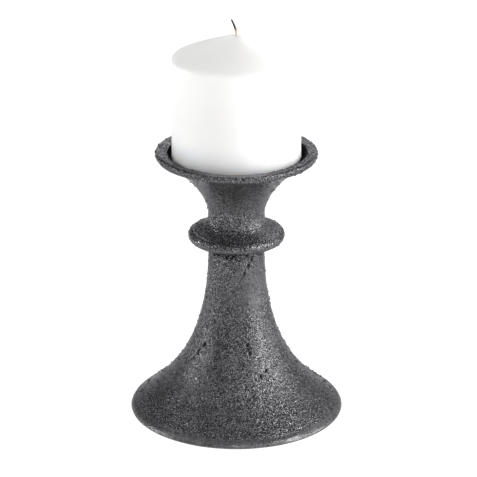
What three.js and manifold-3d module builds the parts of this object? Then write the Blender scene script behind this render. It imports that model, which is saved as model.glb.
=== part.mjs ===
// A table-top stand for one pillar candle, with the candle.
// Three rough castings (bell foot, bead ring and cup) are drawn together by one tie rod.
// Millimetres, +Z up, the table at z = 0, everything turned about the Z axis.

import * as THREE from 'three';
import { mergeVertices } from 'three/addons/utils/BufferGeometryUtils.js';
import Module from 'manifold-3d';

const wasm = await Module();
wasm.setup();

// ---------------------------------------------------------------- driving dimensions

// Shared
const SEAT_GAP = 0.3; // left between pieces that seat on or in each other

// Felt pads under the foot
const FELT_COUNT = 4;
const FELT_THICKNESS = 1.6;
const FELT_PROUD = 0.5; // how far a pad stands out of its pocket
const FELT_MARGIN = 1.4; // foot metal left on each side of a pocket, less its gap

// Bell foot
const BELL_HEIGHT = 106;
const BELL_WALL = 4;
const BELL_TOP_RADIUS = 16.55;
const BELL_TOP_REACH = 69.6; // how far down the top's upright direction holds on to the curve
const CROWN_THICKNESS = 18.5; // solid top of the bell, which the rod passes through
const FOOT_RADIUS = 64.1;
const FOOT_TOE_HEIGHT = 0.9; // underside to the widest level
const FOOT_TOE_ROUND = 1.2;
const FOOT_EDGE_RUN = 3.1; // ridge inside the widest point
const FOOT_EDGE_RISE = 3.1; // ridge above the widest level
const FOOT_EDGE_BULGE = 0.45;
const FOOT_FLARE_ANGLE = 40; // degrees, slope of the bell where it meets the ridge
const FOOT_FLARE_REACH = 22.6; // how far that slope holds on to the curve
const FOOT_RING_WIDTH = 14; // thickened ring that stands on the table

// Spigots that centre the bead ring on both of its neighbours
const SPIGOT_RADIUS = 10.9;
const SPIGOT_LENGTH = 4;

// Bead ring
const RING_HEIGHT = 12.6;
const BEAD_CENTRE_RADIUS = 24.95;
const BEAD_CENTRE_RISE = 4.5; // bead's middle above the ring's lower face
const BEAD_HALF_WIDTH = 3.7;
const BEAD_HALF_HEIGHT = 3.5;
const RING_FOOT_LEDGE = 0.4; // ring wider than the top of the bell
const RING_COVE_RUN = 1.0; // corner of the hollow between bead and neck, outside the neck
const RING_COVE_FALL = 2.2; // and below the ring's upper face

// Cup
const CUP_HEIGHT = 44.1;
const NECK_FOOT_RADIUS = 17.7;
const NECK_WAIST_RADIUS = 16.8;
const NECK_WAIST_RISE = 5.3;
const NECK_WAIST_REACH = 13.8;
const RIM_SLOPE = 13; // degrees, slope of the cup's underside at the rim
const RIM_SLOPE_REACH = 11.8;
const RIM_EDGE_HEIGHT = 3.9;
const RIM_EDGE_UNDERCUT = 0.9;
const RIM_BELLY_FALL = 1.6; // widest level of the rim below its crest
const CREST_INSET = 0.9;
const LIP_WIDTH = 6.5;
const LIP_FALL = 1.0; // inner edge of the lip below the crest
const RECESS_DEPTH = 4.5;
const RECESS_CLEARANCE = 1.6; // round the foot of the candle
const RECESS_DRAFT = 0.6;
const RECESS_FILLET = 1.0;

// Tie rod and its fasteners, M8
const ROD_RADIUS = 4;
const ROD_GRIP = 20; // length held in the cup
const ROD_END = 3; // length beyond the nut
const ROD_CHAMFER = 0.8;
const ROD_HOLE_CLEARANCE = 0.5; // through the crown
const ROD_HOLE_SPARE = 2; // blind hole beyond the rod's end
const DRILL_POINT = 2.4; // cone at the blind hole's end
const WASHER_THICKNESS = 2;
const WASHER_CLEARANCE = 1.3; // to the wall round the crown's underside
const LOCK_WASHER_WIDTH = 3.1;
const LOCK_WASHER_THICKNESS = 2;
const LOCK_WASHER_SPLIT = 14; // degrees
const NUT_ACROSS_FLATS = 13;
const NUT_HEIGHT = 6.5;
const NUT_CHAMFER = 0.7;

// Candle
const CANDLE_RADIUS = 38.1;
const CANDLE_DRAFT = 0.15;
const CANDLE_SIDE = 58.8; // foot to the start of the shoulder
const CANDLE_FOOT_ROUND = 1.0;
const SHOULDER_ROUND = 4;
const SHOULDER_ANGLE = 67.5; // degrees of the shoulder's arc
const DOME_RISE = 12; // end of the shoulder's arc to the tip
const DOME_KNEE_RADIUS = 16.3;
const DOME_KNEE_FALL = 4.1;
const WICK_RADIUS = 0.75;
const WICK_STAND = 9.1; // length above the tip
const WICK_LEAN = 2.5; // towards -X
const WICK_BEND = 2.3; // height above the tip at which it turns over
const TAB_RADIUS = 7.5;
const TAB_THICKNESS = 0.4;
const TAB_NECK_WALL = 0.4;
const TAB_NECK_HEIGHT = 3;

// Fineness: faces round the axis, and steps along the curves of each outline
const CASTING_SEGMENTS = 48;
const SMALL_SEGMENTS = 20;
const BELL_STEPS = 16;
const HOLLOW_STEPS = 9;
const BEAD_STEPS = 9;
const COVE_STEPS = 4;
const CUP_STEPS = 13;
const SHOULDER_STEPS = 5;
const DOME_STEPS = 7;
const ROUND_STEPS = 3;
const FILLET_STEPS = 2;
const WICK_STEPS = 24;
const WICK_SIDE_STEPS = 4;
const MERGE_DISTANCE = 1e-4;
const HALVINGS = 40; // of the span when a point is sought along a curve

// ---------------------------------------------------------------- levels and fits

const footZ = FELT_PROUD;
const bellTopZ = footZ + BELL_HEIGHT;
const crownZ = bellTopZ - CROWN_THICKNESS;
const ringBottomZ = bellTopZ + SEAT_GAP;
const ringTopZ = ringBottomZ + RING_HEIGHT;
const cupBottomZ = ringTopZ + SEAT_GAP;
const rimZ = cupBottomZ + CUP_HEIGHT;
const recessFloorZ = rimZ - RECESS_DEPTH;

const washerTopZ = crownZ - SEAT_GAP;
const lockWasherTopZ = washerTopZ - WASHER_THICKNESS - SEAT_GAP;
const nutTopZ = lockWasherTopZ - LOCK_WASHER_THICKNESS - SEAT_GAP;
const rodBottomZ = nutTopZ - NUT_HEIGHT - ROD_END;
const rodTopZ = cupBottomZ + ROD_GRIP;

const candleBottomZ = recessFloorZ + SEAT_GAP;
const shoulderZ = candleBottomZ + CANDLE_SIDE;
const domeZ = shoulderZ + SHOULDER_ROUND * Math.sin(THREE.MathUtils.degToRad(SHOULDER_ANGLE));
const candleTipZ = domeZ + DOME_RISE;
const wickTopZ = candleTipZ + WICK_STAND;

const rodHoleRadius = ROD_RADIUS + ROD_HOLE_CLEARANCE;
const rodSeatRadius = ROD_RADIUS + SEAT_GAP;
const wickHoleRadius = WICK_RADIUS + SEAT_GAP;
const tabNeckRadius = wickHoleRadius + TAB_NECK_WALL;

const recessRadius = CANDLE_RADIUS + RECESS_CLEARANCE;
const lipRadius = recessRadius + RECESS_DRAFT;
const crestRadius = lipRadius + LIP_WIDTH;
const rimRadius = crestRadius + CREST_INSET;

const footFlatOuter = FOOT_RADIUS - FOOT_TOE_ROUND;
const footFlatInner = FOOT_RADIUS - FOOT_RING_WIDTH;
const padCircle = (footFlatOuter + footFlatInner) / 2;
const padRadius = (footFlatOuter - footFlatInner) / 2 - FELT_MARGIN;

// ---------------------------------------------------------------- materials

const material = (color, roughness, metalness) =>
  new THREE.MeshStandardMaterial({ color, roughness, metalness });

const castMetal = material(0x4b4b4d, 0.75, 0.55);
const plainSteel = material(0xa3a5a8, 0.35, 0.95);
const felt = material(0x1d1d1f, 1, 0);
const wax = material(0xf7f6f2, 0.4, 0);
const cotton = material(0x3a2c26, 0.95, 0);
const tinplate = material(0xb9bbbd, 0.3, 0.9);

// ---------------------------------------------------------------- shape helpers

const at = (radius, z) => new THREE.Vector2(radius, z);

// Bends from one point to another round a corner.
function bend(from, corner, to, steps) {
  return new THREE.QuadraticBezierCurve(from, corner, to).getPoints(steps);
}

// Turns a profile of (radius, z) points about the Z axis. The profile runs so that the solid is
// on its left, and it starts and ends on the axis or returns to its first point.
function turned(profile, segments) {
  const geometry = new THREE.LatheGeometry(profile, segments);
  geometry.rotateX(Math.PI / 2);
  return geometry;
}

const closed = (profile) => [...profile, profile[0].clone()];

// A ring of plain rectangular section with its upper face at topZ.
function flatRing(innerRadius, outerRadius, topZ, height, segments) {
  const section = [
    at(innerRadius, topZ - height),
    at(outerRadius, topZ - height),
    at(outerRadius, topZ),
    at(innerRadius, topZ),
  ];
  return turned(closed(section), segments);
}

// The value of t at which a steadily changing measure of a curve reaches the target.
function solveAlong(measure, target) {
  let low = 0;
  let high = 1;
  const rising = measure(high) > measure(low);
  for (let step = 0; step < HALVINGS; step += 1) {
    const middle = (low + high) / 2;
    const short = measure(middle) < target;
    if (short === rising) low = middle;
    else high = middle;
  }
  return (low + high) / 2;
}

function toSolid(geometry) {
  geometry.deleteAttribute('normal');
  geometry.deleteAttribute('uv');
  const merged = mergeVertices(geometry, MERGE_DISTANCE);
  return new wasm.Manifold(
    new wasm.Mesh({
      numProp: 3,
      vertProperties: new Float32Array(merged.attributes.position.array),
      triVerts: new Uint32Array(merged.index.array),
    })
  );
}

function toGeometry(solid) {
  const mesh = solid.getMesh();
  const geometry = new THREE.BufferGeometry();
  geometry.setAttribute('position', new THREE.BufferAttribute(mesh.vertProperties, 3));
  geometry.setIndex(new THREE.BufferAttribute(mesh.triVerts, 1));
  geometry.computeVertexNormals();
  return geometry;
}

// ---------------------------------------------------------------- bell foot

const ridge = at(FOOT_RADIUS - FOOT_EDGE_RUN, footZ + FOOT_TOE_HEIGHT + FOOT_EDGE_RISE);

// The flared outline, from the foot's ridge up to the ring.
function bellOutline() {
  const angle = THREE.MathUtils.degToRad(FOOT_FLARE_ANGLE);
  const flare = at(-Math.cos(angle), Math.sin(angle)).multiplyScalar(FOOT_FLARE_REACH);
  const top = at(BELL_TOP_RADIUS, bellTopZ);
  const topHandle = at(top.x, top.y - BELL_TOP_REACH);
  return new THREE.CubicBezierCurve(ridge, ridge.clone().add(flare), topHandle, top);
}

// The hollow's outline: the same curve, one wall further in.
function bellHollow(outline) {
  return (t) => {
    const point = outline.getPoint(t);
    const along = outline.getTangent(t);
    return at(point.x - along.y * BELL_WALL, point.y + along.x * BELL_WALL);
  };
}

const outline = bellOutline();
const hollow = bellHollow(outline);
const hollowStart = solveAlong((t) => hollow(t).y, crownZ);
const hollowEnd = solveAlong((t) => hollow(t).x, footFlatInner);
const crownSeatRadius = hollow(hollowStart).x;

// The hollow from under the crown down to the foot ring.
function hollowPoints() {
  const stride = (hollowEnd - hollowStart) / HOLLOW_STEPS;
  return Array.from({ length: HOLLOW_STEPS + 1 }, (_, step) => hollow(hollowStart + stride * step));
}

// The sloping, slightly bulging outer face of the foot, from the ridge down to the underside.
function footEdge() {
  const widest = at(FOOT_RADIUS, footZ + FOOT_TOE_HEIGHT);
  const middle = ridge.clone().add(widest).multiplyScalar(0.5);
  const outward = at(ridge.y - widest.y, widest.x - ridge.x).normalize();
  const corner = middle.add(outward.multiplyScalar(2 * FOOT_EDGE_BULGE));
  const face = bend(ridge, corner, widest, ROUND_STEPS);
  const toe = bend(widest, at(FOOT_RADIUS, footZ), at(footFlatOuter, footZ), FILLET_STEPS);
  return [...face.slice(1), ...toe.slice(1)];
}

function bellBase() {
  const profile = [
    ...hollowPoints(),
    at(footFlatInner, footZ),
    ...footEdge().reverse(),
    ...outline.getPoints(BELL_STEPS),
    at(SPIGOT_RADIUS, bellTopZ),
    at(SPIGOT_RADIUS, bellTopZ + SPIGOT_LENGTH),
    at(rodHoleRadius, bellTopZ + SPIGOT_LENGTH),
    at(rodHoleRadius, crownZ),
  ];
  return toSolid(turned(closed(profile), CASTING_SEGMENTS));
}

// Where the pads' centres lie, in plan.
const padPlaces = Array.from({ length: FELT_COUNT }, (_, index) => {
  const angle = (index * 2 * Math.PI) / FELT_COUNT;
  return at(padCircle * Math.cos(angle), padCircle * Math.sin(angle));
});

// What is cut out of the foot's underside for one pad. Its other half lies below the foot.
function padPocket(place) {
  const radius = padRadius + SEAT_GAP;
  const depth = FELT_THICKNESS - FELT_PROUD + SEAT_GAP;
  const cutter = new THREE.CylinderGeometry(radius, radius, 2 * depth, SMALL_SEGMENTS);
  cutter.rotateX(Math.PI / 2);
  cutter.translate(place.x, place.y, footZ);
  return toSolid(cutter);
}

function feltPad() {
  const pad = new THREE.CylinderGeometry(padRadius, padRadius, FELT_THICKNESS, SMALL_SEGMENTS);
  pad.rotateX(Math.PI / 2);
  pad.translate(0, 0, FELT_THICKNESS / 2);
  return pad;
}

// ---------------------------------------------------------------- bead ring

function collarRing() {
  const bore = SPIGOT_RADIUS + SEAT_GAP;
  const beadZ = ringBottomZ + BEAD_CENTRE_RISE;
  const bead = new THREE.EllipseCurve(
    BEAD_CENTRE_RADIUS, beadZ, BEAD_HALF_WIDTH, BEAD_HALF_HEIGHT, -Math.PI / 2, Math.PI / 2
  );
  const beadTop = at(BEAD_CENTRE_RADIUS, beadZ + BEAD_HALF_HEIGHT);
  const coveCorner = at(NECK_FOOT_RADIUS + RING_COVE_RUN, ringTopZ - RING_COVE_FALL);
  const cove = bend(beadTop, coveCorner, at(NECK_FOOT_RADIUS, ringTopZ), COVE_STEPS);
  const profile = [
    at(bore, ringBottomZ),
    at(BELL_TOP_RADIUS + RING_FOOT_LEDGE, ringBottomZ),
    ...bead.getPoints(BEAD_STEPS),
    ...cove.slice(1),
    at(bore, ringTopZ),
  ];
  return turned(closed(profile), CASTING_SEGMENTS);
}

// ---------------------------------------------------------------- cup

const rimEdge = at(rimRadius - RIM_EDGE_UNDERCUT, rimZ - RIM_EDGE_HEIGHT);

// From the neck's foot up and out to the rim's lower edge.
function cupUnderside() {
  const angle = THREE.MathUtils.degToRad(RIM_SLOPE);
  const waist = at(NECK_WAIST_RADIUS, cupBottomZ + NECK_WAIST_RISE);
  const neckCorner = at(waist.x, (waist.y + cupBottomZ) / 2);
  const neck = bend(at(NECK_FOOT_RADIUS, cupBottomZ), neckCorner, waist, ROUND_STEPS);
  const waistHandle = at(waist.x, waist.y + NECK_WAIST_REACH);
  const slope = at(-Math.cos(angle), -Math.sin(angle)).multiplyScalar(RIM_SLOPE_REACH);
  const flare = new THREE.CubicBezierCurve(waist, waistHandle, rimEdge.clone().add(slope), rimEdge);
  return [...neck, ...flare.getPoints(CUP_STEPS).slice(1)];
}

// Round the rim's outer face to its crest.
function cupRim() {
  const belly = at(rimRadius, rimZ - RIM_BELLY_FALL);
  const lower = bend(rimEdge, at(rimRadius, (rimEdge.y + belly.y) / 2), belly, FILLET_STEPS);
  const upper = bend(belly, at(rimRadius, rimZ), at(crestRadius, rimZ), ROUND_STEPS);
  return [...lower.slice(1), ...upper.slice(1)];
}

// Down the sloping lip and the recess wall, and across the floor that the candle stands on.
function cupRecess() {
  const wallFoot = at(recessRadius, recessFloorZ + RECESS_FILLET);
  const corner = at(recessRadius, recessFloorZ);
  const floorEdge = at(recessRadius - RECESS_FILLET, recessFloorZ);
  const fillet = bend(wallFoot, corner, floorEdge, FILLET_STEPS);
  return [at(lipRadius, rimZ - LIP_FALL), ...fillet, at(0, recessFloorZ)];
}

function candleCup() {
  const holeEndZ = rodTopZ + ROD_HOLE_SPARE;
  const profile = [
    at(0, holeEndZ + DRILL_POINT),
    at(rodSeatRadius, holeEndZ),
    at(rodSeatRadius, cupBottomZ - SPIGOT_LENGTH),
    at(SPIGOT_RADIUS, cupBottomZ - SPIGOT_LENGTH),
    at(SPIGOT_RADIUS, cupBottomZ),
    ...cupUnderside(),
    ...cupRim(),
    ...cupRecess(),
  ];
  return turned(profile, CASTING_SEGMENTS);
}

// ---------------------------------------------------------------- tie rod and fasteners

function tieRod() {
  const chamferRadius = ROD_RADIUS - ROD_CHAMFER;
  const profile = [
    at(0, rodBottomZ),
    at(chamferRadius, rodBottomZ),
    at(ROD_RADIUS, rodBottomZ + ROD_CHAMFER),
    at(ROD_RADIUS, rodTopZ - ROD_CHAMFER),
    at(chamferRadius, rodTopZ),
    at(0, rodTopZ),
  ];
  return turned(profile, SMALL_SEGMENTS);
}

// A split ring: the split faces +X.
function lockWasher() {
  const halfSplit = THREE.MathUtils.degToRad(LOCK_WASHER_SPLIT) / 2;
  const outerRadius = rodSeatRadius + LOCK_WASHER_WIDTH;
  const shape = new THREE.Shape();
  shape.absarc(0, 0, outerRadius, halfSplit, 2 * Math.PI - halfSplit, false);
  shape.absarc(0, 0, rodSeatRadius, 2 * Math.PI - halfSplit, halfSplit, true);
  shape.closePath();
  const washer = new THREE.ExtrudeGeometry(shape, {
    depth: LOCK_WASHER_THICKNESS, bevelEnabled: false, curveSegments: SMALL_SEGMENTS,
  });
  washer.translate(0, 0, lockWasherTopZ - LOCK_WASHER_THICKNESS);
  return washer;
}

// A hexagon prism whose corners are cut back by a cone at both ends.
function clampNut() {
  const cornerRadius = NUT_ACROSS_FLATS / 2 / Math.cos(Math.PI / 6);
  const corners = Array.from({ length: 6 }, (_, index) => {
    const angle = (index * Math.PI) / 3;
    return at(cornerRadius * Math.cos(angle), cornerRadius * Math.sin(angle));
  });
  const shape = new THREE.Shape(corners);
  shape.holes.push(new THREE.Path().absarc(0, 0, rodSeatRadius, 0, 2 * Math.PI, true));
  const prism = new THREE.ExtrudeGeometry(shape, {
    depth: NUT_HEIGHT, bevelEnabled: false, curveSegments: SMALL_SEGMENTS,
  });
  const faceRadius = NUT_ACROSS_FLATS / 2;
  const coned = turned([
    at(0, 0),
    at(faceRadius, 0),
    at(cornerRadius, NUT_CHAMFER),
    at(cornerRadius, NUT_HEIGHT - NUT_CHAMFER),
    at(faceRadius, NUT_HEIGHT),
    at(0, NUT_HEIGHT),
  ], SMALL_SEGMENTS * 2);
  const nut = toGeometry(toSolid(prism).intersect(toSolid(coned)));
  nut.translate(0, 0, nutTopZ - NUT_HEIGHT);
  return nut;
}

// ---------------------------------------------------------------- candle

function candleWax() {
  const tabRecessZ = candleBottomZ + TAB_THICKNESS + 2 * SEAT_GAP;
  const neckRecessZ = tabRecessZ + TAB_NECK_HEIGHT;
  const shoulderCentre = CANDLE_RADIUS - CANDLE_DRAFT - SHOULDER_ROUND;
  const shoulderEnd = THREE.MathUtils.degToRad(SHOULDER_ANGLE);
  const shoulder = new THREE.EllipseCurve(
    shoulderCentre, shoulderZ, SHOULDER_ROUND, SHOULDER_ROUND, 0, shoulderEnd
  ).getPoints(SHOULDER_STEPS);
  const foot = bend(
    at(CANDLE_RADIUS - CANDLE_FOOT_ROUND, candleBottomZ),
    at(CANDLE_RADIUS, candleBottomZ),
    at(CANDLE_RADIUS, candleBottomZ + CANDLE_FOOT_ROUND),
    ROUND_STEPS
  );
  const knee = at(DOME_KNEE_RADIUS, candleTipZ - DOME_KNEE_FALL);
  const dome = bend(shoulder[SHOULDER_STEPS], knee, at(wickHoleRadius, candleTipZ), DOME_STEPS);
  const profile = [
    at(wickHoleRadius, neckRecessZ),
    at(tabNeckRadius + SEAT_GAP, neckRecessZ),
    at(tabNeckRadius + SEAT_GAP, tabRecessZ),
    at(TAB_RADIUS + SEAT_GAP, tabRecessZ),
    at(TAB_RADIUS + SEAT_GAP, candleBottomZ),
    ...foot,
    ...shoulder,
    ...dome.slice(1),
  ];
  return turned(closed(profile), CASTING_SEGMENTS);
}

// Straight through the wax, then leaning over above the tip.
function candleWick() {
  const section = new THREE.Shape().absarc(0, 0, WICK_RADIUS, 0, 2 * Math.PI, false);
  const bottom = new THREE.Vector3(0, 0, candleBottomZ + SEAT_GAP);
  const leave = new THREE.Vector3(0, 0, candleTipZ);
  const turn = new THREE.Vector3(0, 0, candleTipZ + WICK_BEND);
  const tip = new THREE.Vector3(-WICK_LEAN, 0, wickTopZ);
  const path = new THREE.CurvePath();
  path.add(new THREE.LineCurve3(bottom, leave));
  path.add(new THREE.QuadraticBezierCurve3(leave, turn, tip));
  return new THREE.ExtrudeGeometry(section, {
    steps: WICK_STEPS, curveSegments: WICK_SIDE_STEPS, extrudePath: path,
  });
}

function wickTab() {
  const discZ = candleBottomZ + SEAT_GAP;
  const discTopZ = discZ + TAB_THICKNESS;
  const profile = [
    at(wickHoleRadius, discZ),
    at(TAB_RADIUS, discZ),
    at(TAB_RADIUS, discTopZ),
    at(tabNeckRadius, discTopZ),
    at(tabNeckRadius, discTopZ + TAB_NECK_HEIGHT),
    at(wickHoleRadius, discTopZ + TAB_NECK_HEIGHT),
  ];
  return turned(closed(profile), SMALL_SEGMENTS);
}

// ---------------------------------------------------------------- assembly

function piece(name, geometry, finish) {
  const mesh = new THREE.Mesh(geometry, finish);
  mesh.name = name;
  return mesh;
}

const stand = new THREE.Group();
const bell = padPlaces.reduce((body, place) => body.subtract(padPocket(place)), bellBase());
stand.add(piece('bell_base', toGeometry(bell), castMetal));
stand.add(piece('collar_ring', collarRing(), castMetal));
stand.add(piece('candle_cup', candleCup(), castMetal));
stand.add(piece('tie_rod', tieRod(), plainSteel));
const washerRadius = crownSeatRadius - WASHER_CLEARANCE;
const clampWasher = flatRing(rodSeatRadius, washerRadius, washerTopZ, WASHER_THICKNESS, 2 * SMALL_SEGMENTS);
stand.add(piece('clamp_washer', clampWasher, plainSteel));
stand.add(piece('lock_washer', lockWasher(), plainSteel));
stand.add(piece('clamp_nut', clampNut(), plainSteel));
padPlaces.forEach((place, index) => {
  const pad = piece(`felt_pad_${index + 1}`, feltPad(), felt);
  pad.position.set(place.x, place.y, 0);
  stand.add(pad);
});

const candle = new THREE.Group();
candle.add(piece('candle_wax', candleWax(), wax));
candle.add(piece('candle_wick', candleWick(), cotton));
candle.add(piece('wick_tab', wickTab(), tinplate));

const holder = new THREE.Group();
holder.add(stand, candle);

export default holder;
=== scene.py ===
"""A pillar candle stand in rough dark cast metal, with its white candle, on a plain studio floor.

Sizes are in millimetres until a mesh is made; Blender's own values are in metres.
"""
import math

import bpy
import numpy as np
from mathutils import Matrix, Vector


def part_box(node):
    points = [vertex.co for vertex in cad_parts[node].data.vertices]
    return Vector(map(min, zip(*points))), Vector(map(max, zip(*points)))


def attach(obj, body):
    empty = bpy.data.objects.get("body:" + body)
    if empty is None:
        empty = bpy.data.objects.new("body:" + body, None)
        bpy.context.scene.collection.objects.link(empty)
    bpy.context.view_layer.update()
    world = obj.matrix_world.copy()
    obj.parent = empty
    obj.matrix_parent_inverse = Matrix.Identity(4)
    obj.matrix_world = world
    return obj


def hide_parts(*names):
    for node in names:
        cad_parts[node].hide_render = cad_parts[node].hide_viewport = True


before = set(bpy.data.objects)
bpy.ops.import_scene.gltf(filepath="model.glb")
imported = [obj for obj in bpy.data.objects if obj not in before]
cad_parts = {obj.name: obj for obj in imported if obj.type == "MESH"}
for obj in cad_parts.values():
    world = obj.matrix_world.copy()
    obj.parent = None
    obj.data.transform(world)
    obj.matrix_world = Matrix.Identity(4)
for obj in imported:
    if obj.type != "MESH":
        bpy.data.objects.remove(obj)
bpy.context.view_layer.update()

MM = 0.001
TINY = 1e-6  # a length that counts as nothing


def corners_mm(node):
    """Lowest and highest corner of a CAD node, in millimetres."""
    low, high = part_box(node)
    return np.array(low) / MM, np.array(high) / MM


# ---- sizes from the frame

bell_low, bell_high = corners_mm("bell_base")
ring_low, ring_high = corners_mm("collar_ring")
cup_low, cup_high = corners_mm("candle_cup")
wax_low, wax_high = corners_mm("candle_wax")
wick_low, wick_high = corners_mm("candle_wick")
rod_low, rod_high = corners_mm("tie_rod")

SPIGOT_LENGTH = 4.0
foot_z = bell_low[2]
bell_top_z = bell_high[2] - SPIGOT_LENGTH
ring_bottom_z = ring_low[2]
ring_top_z = ring_high[2]
cup_bottom_z = cup_low[2] + SPIGOT_LENGTH
rim_z = cup_high[2]
foot_radius = bell_high[0]
rim_radius = cup_high[0]
candle_radius = wax_high[0]
candle_foot_z = wax_low[2]
candle_tip_z = wax_high[2]
wick_radius = wick_high[1]
rod_radius = rod_high[0]

# ---- sizes of the castings

BELL_WALL = 4.0
BELL_TOP_RADIUS = 16.55
BELL_TOP_REACH = 69.6
CROWN_THICKNESS = 18.5
FOOT_TOE_HEIGHT = 0.9
FOOT_TOE_ROUND = 1.2
FOOT_EDGE_RUN = 3.1
FOOT_EDGE_RISE = 3.1
FOOT_EDGE_BULGE = 0.45
FOOT_FLARE_ANGLE = math.radians(40)
FOOT_FLARE_REACH = 22.6
FOOT_RING_WIDTH = 14.0
SPIGOT_RADIUS = 10.9
ROD_HOLE_CLEARANCE = 0.5
SEAT_GAP = 0.3

BEAD_CENTRE_RADIUS = 24.95
BEAD_CENTRE_RISE = 4.5
BEAD_HALF_WIDTH = 3.7
BEAD_HALF_HEIGHT = 3.5
RING_COVE_RUN = 1.0
RING_COVE_FALL = 2.2

NECK_FOOT_RADIUS = 17.7
NECK_WAIST_RADIUS = 16.8
NECK_WAIST_RISE = 5.3
NECK_WAIST_REACH = 13.8
RIM_SLOPE = math.radians(13)
RIM_SLOPE_REACH = 11.8
RIM_EDGE_HEIGHT = 3.9
RIM_EDGE_UNDERCUT = 0.9
RIM_BELLY_FALL = 1.6
CREST_INSET = 0.9
LIP_WIDTH = 6.5
LIP_FALL = 1.0
RECESS_DEPTH = 4.5
RECESS_DRAFT = 0.6
RECESS_FILLET = 1.0
GROOVE_WIDTH = 1.7
GROOVE_DEPTH = 0.9

# ---- repeatable noise

HASH_MASK = 0xFFFFFFFF
AXIS_PRIMES = (73856093, 19349663, 83492791)
SEED_PRIME = 374761393
MIX_PRIMES = (2246822519, 3266489917)
SMALLEST_GRAIN = 0.6
LOWEST_GRAIN = 0.5


def cell_random(cells, seed):
    """One repeatable number from 0 to 1 for each row of whole-number cells."""
    x, y, z = (cells[..., axis] * prime for axis, prime in enumerate(AXIS_PRIMES))
    mixed = (x ^ y ^ z ^ (seed * SEED_PRIME)) & HASH_MASK
    mixed = ((mixed ^ (mixed >> 15)) * MIX_PRIMES[0]) & HASH_MASK
    mixed = ((mixed ^ (mixed >> 13)) * MIX_PRIMES[1]) & HASH_MASK
    return ((mixed ^ (mixed >> 16)) & HASH_MASK) / HASH_MASK


def soft_noise(points, size, seed):
    """Smooth noise from -1 to 1 whose waves are about size across."""
    scaled = points / size
    base = np.floor(scaled).astype(np.int64)
    part = scaled - base
    ease = part * part * (3 - 2 * part)
    total = np.zeros(len(points))
    for corner in np.ndindex(2, 2, 2):
        offset = np.array(corner)
        weight = np.prod(np.where(offset == 1, ease, 1 - ease), axis=1)
        total += weight * cell_random(base + offset, seed)
    return 2 * total - 1


def layered(points, level, layers):
    """A level with smooth noise on it; a layer is its strength, its size in mm and its seed."""
    total = np.full(len(points), float(level))
    for strength, size, seed in layers:
        total += strength * soft_noise(points, size, seed)
    return total


def grains(points, spacing, radius, share, seed):
    """Height from 0 to 1 of round grains scattered in space, one for a share of the cells."""
    base = np.floor(points / spacing).astype(np.int64)
    height = np.zeros(len(points))
    for step in np.ndindex(3, 3, 3):
        cell = base + np.array(step) - 1
        there = cell_random(cell, seed) < share
        if not there.any():
            continue
        where = np.nonzero(there)[0]
        chosen = cell[where]
        centre = np.stack([cell_random(chosen, seed + 1 + axis) for axis in range(3)], axis=1)
        centre = (chosen + centre) * spacing
        size = SMALLEST_GRAIN + (1 - SMALLEST_GRAIN) * cell_random(chosen, seed + 4)
        top = LOWEST_GRAIN + (1 - LOWEST_GRAIN) * cell_random(chosen, seed + 5)
        distance = np.linalg.norm(points[where] - centre, axis=1) / (radius * size)
        bump = np.clip(1 - distance**2, 0, 1) * top
        height[where] = np.maximum(height[where], bump)
    return height


# ---- places on the stand

def radius_of(points):
    """Distance from the stand's axis, never quite 0."""
    return np.maximum(np.hypot(points[:, 0], points[:, 1]), TINY)


def rise(value, start, end):
    """0 before start, 1 after end and even between them."""
    return np.clip((value - start) / (end - start), 0, 1)


def fall(value, start, end):
    """1 before start, 0 after end and even between them."""
    return np.clip((end - value) / (end - start), 0, 1)


def near(distance, reach):
    """1 where the distance is 0, fading out over the reach."""
    return np.exp(-((distance / reach) ** 2))


def near_point(points, centre, reach):
    """1 at the centre, fading out over the reach."""
    return np.exp(-(np.sum((points - centre) ** 2, axis=1) / reach**2))


def on_surface(azimuth, radius, height):
    """A point from its azimuth in degrees (0 faces the camera, +90 is the right side)."""
    turn = math.radians(azimuth)
    return np.array([radius * math.sin(turn), -radius * math.cos(turn), height])


# ---- crust and seams

# In this and the next parts a band runs from where a mark starts to where it is full, or from
# where it is full to where it ends. Layers are rows for layered().
CRUST_PATCHES = (
    # centre of the patch, its reach in mm, how much crustier it is
    (on_surface(-46, 25, 50), 9.0, 1.2),
    (on_surface(-51, 30, 39), 8.0, 1.0),
    (on_surface(28, 28, 43), 10.0, 0.9),
    (on_surface(28, 40, 25), 14.0, 0.8),
    (on_surface(50, 18, 84), 18.0, -1.0),
    (on_surface(-15, 18, 80), 16.0, -0.55),
    (on_surface(-60, 20, 72), 10.0, 0.7),
    (on_surface(-2, 31, 38), 8.0, -0.5),
)
CRUST_LEVEL = 0.75
CRUST_LAYERS = ((0.5, 21.0, 11), (0.3, 7.0, 15))
CRUST_MOST = 1.5
RING_CRUST = 0.3
RING_CRUST_REACH = 7.0
RIM_CRUST = 0.7
RIM_CRUST_BAND = (rim_z - 5.0, rim_z - 2.0)
CUP_SMOOTHNESS = 0.85
CUP_SMOOTH_BAND = (ring_top_z + 3.0, ring_top_z + 14.0)

SEAMS = (
    # where a ragged seam starts and ends, and its width in mm
    (on_surface(33, 16.7, 100.5), on_surface(8, 17.2, 88.5), 1.0),
    (on_surface(-51, 22.4, 58.3), on_surface(-46, 24.8, 51.1), 1.2),
    (on_surface(-47, 25.8, 48.0), on_surface(-56, 29.0, 41.0), 1.2),
    (on_surface(-54, 28.9, 41.3), on_surface(-65, 33.0, 33.9), 0.8),
    (on_surface(15, 25.4, 49.2), on_surface(17, 28.1, 43.1), 1.1),
    (on_surface(35, 32.3, 35.1), on_surface(22, 34.5, 31.7), 0.9),
)
SEAM_DEPTH = 0.5
SEAM_START_WIDTH = 1.4
SEAM_NARROWING = 0.8
SEAM_WANDER = ((0.6, 2.4, 66), (0.6, 2.4, 67), (0.6, 2.4, 68))
SEAM_LEVEL = 0.8
SEAM_LAYERS = ((0.9, 1.6, 69),)


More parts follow.
